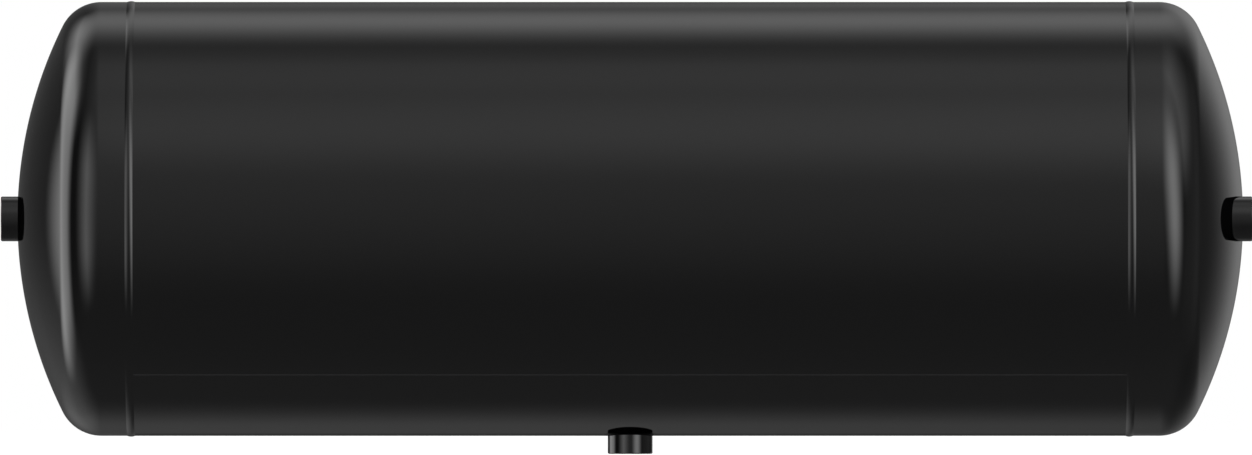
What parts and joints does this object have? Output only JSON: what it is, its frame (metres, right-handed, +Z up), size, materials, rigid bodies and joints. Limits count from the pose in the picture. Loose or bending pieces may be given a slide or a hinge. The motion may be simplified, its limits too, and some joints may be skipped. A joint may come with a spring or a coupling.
{
  "type": "air receiver tank",
  "caption": "Horizontal welded steel compressed-air tank with dished heads, tapped bosses in both heads and in the belly, painted gloss black.",
  "frame": {"origin": "on the tank's axis, midway between the tips of the two heads, which is its centre of mass to within a few millimetres", "axes": "+X along the tank's axis towards the head with the off-centre port, +Z up with the drain port at -Z, -Y towards the side that the off-centre port and the straight seam are on"},
  "size_m": [0.8931, 0.3112, 0.3235],
  "materials": {
    "black_paint": "smooth gloss black enamel over steel",
    "bare_steel": "machined threads and unpainted weld metal, lightly oiled"
  },
  "bodies": {
    "root": {"shell": "black_paint", "seam_weld": "black_paint", "left_head": "black_paint", "right_head": "black_paint", "left_girth_weld": "black_paint", "right_girth_weld": "black_paint", "left_boss": "black_paint", "right_boss": "black_paint", "drain_boss": "black_paint", "left_boss_weld": "bare_steel", "right_boss_weld": "bare_steel", "drain_boss_weld": "bare_steel"}
  },
  "joints": []
}
